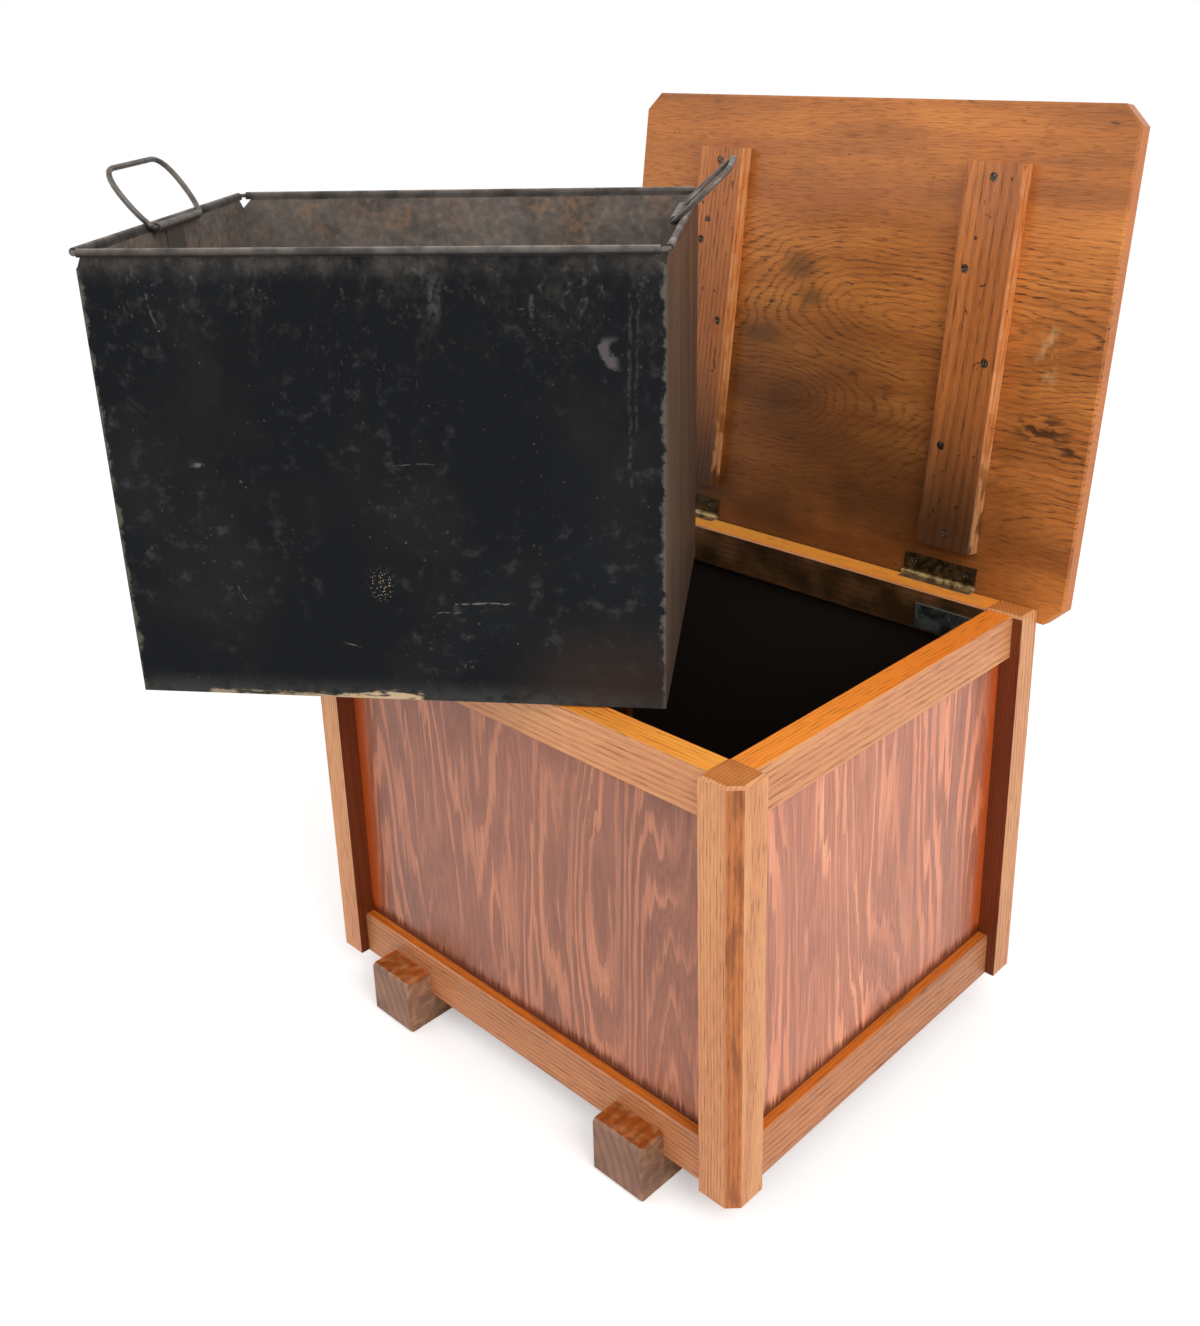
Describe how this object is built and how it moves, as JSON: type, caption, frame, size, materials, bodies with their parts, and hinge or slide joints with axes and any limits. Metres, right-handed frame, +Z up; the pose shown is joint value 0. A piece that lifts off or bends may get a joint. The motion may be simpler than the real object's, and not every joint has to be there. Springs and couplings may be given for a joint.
{
  "type": "coal scuttle",
  "caption": "Oak panelled coal box on runners with a hinged battened lid, and a loose sheet-steel liner bin with swinging wire bail handles standing across its rim.",
  "frame": {"origin": "middle of the whole object's bounding box, lid and liner included, on the floor under the runners", "axes": "+X to the right along the box's front, +Y towards the lid's hinges, +Z up"},
  "size_m": [0.7304, 0.747, 0.8874],
  "materials": {
    "oak": "aged oak, satin oil finish",
    "panel": "red-brown stained panel, satin, worn",
    "floor": "coal-blackened board",
    "runner": "dark oak, worn, with grey bloom",
    "lid": "aged oak, satin, with stains",
    "batten": "darker aged oak with small pits",
    "plate": "dull blue-grey sheet",
    "hinge": "tarnished, brighter on the barrel",
    "screw": "darkened slotted heads",
    "liner": "black lacquer, scratched and worn to grey at the rim",
    "wire": "bare wire, dull",
    "sleeve": "worn black, grey on the edges"
  },
  "bodies": {
    "box": {"post_front_right": "oak", "post_front_left": "oak", "post_back_right": "oak", "post_back_left": "oak", "top_rail_front": "oak", "bottom_rail_front": "oak", "top_rail_right": "oak", "bottom_rail_right": "oak", "top_rail_back": "oak", "bottom_rail_back": "oak", "top_rail_left": "oak", "bottom_rail_left": "oak", "panel_front": "panel", "panel_right": "panel", "panel_back": "panel", "panel_left": "panel", "floor_board": "floor", "runner_left": "runner", "runner_right": "runner", "back_rail_plate": "plate", "hinge_left_rail_leaf": "hinge", "hinge_right_rail_leaf": "hinge", "hinge_left_pin": "hinge", "hinge_right_pin": "hinge"},
    "lid": {"lid_board_front": "lid", "lid_board_middle": "lid", "lid_board_rear": "lid", "lid_batten_left": "batten", "lid_batten_right": "batten", "hinge_left_lid_leaf": "hinge", "hinge_right_lid_leaf": "hinge", "left_batten_screw_1": "screw", "left_batten_screw_2": "screw", "left_batten_screw_3": "screw", "left_batten_screw_4": "screw", "left_batten_screw_5": "screw", "right_batten_screw_1": "screw", "right_batten_screw_2": "screw", "right_batten_screw_3": "screw", "right_batten_screw_4": "screw", "right_batten_screw_5": "screw", "left_hinge_screw_1": "screw", "left_hinge_screw_2": "screw", "left_hinge_screw_3": "screw", "right_hinge_screw_1": "screw", "right_hinge_screw_2": "screw", "right_hinge_screw_3": "screw"},
    "liner": {"liner_front": "liner", "liner_end_right": "liner", "liner_back": "liner", "liner_end_left": "liner", "liner_floor": "liner", "liner_rim_wire": "wire", "handle_sleeve_right": "sleeve", "handle_sleeve_left": "sleeve"},
    "handle_left": {"handle_left": "wire"},
    "handle_right": {"handle_right": "wire"}
  },
  "joints": [
    {"name": "lid_hinge", "type": "hinge", "parent": "box", "child": "lid", "pos_m": [0.0697, 0.28667, 0.434], "axis": [1, 0, 0], "range_deg": [0, 98.5]},
    {"name": "liner_carry", "type": "slide", "parent": "box", "child": "liner", "axis": [0, -1, 0], "range_m": [0, 0.5]},
    {"name": "handle_left_swing", "type": "hinge", "parent": "liner", "child": "handle_left", "pos_m": [-0.2546, -0.22074, 0.80903], "axis": [-0.6018, 0.7986, 0], "range_deg": [0, 215]},
    {"name": "handle_right_swing", "type": "hinge", "parent": "liner", "child": "handle_right", "pos_m": [0.10323, 0.04887, 0.81077], "axis": [0.6018, -0.7986, 0], "range_deg": [0, 227]}
  ],
  "couplings": [
    {"joint": "liner_carry", "follows": "lid_hinge", "m_per_rad": 0.2908}
  ]
}
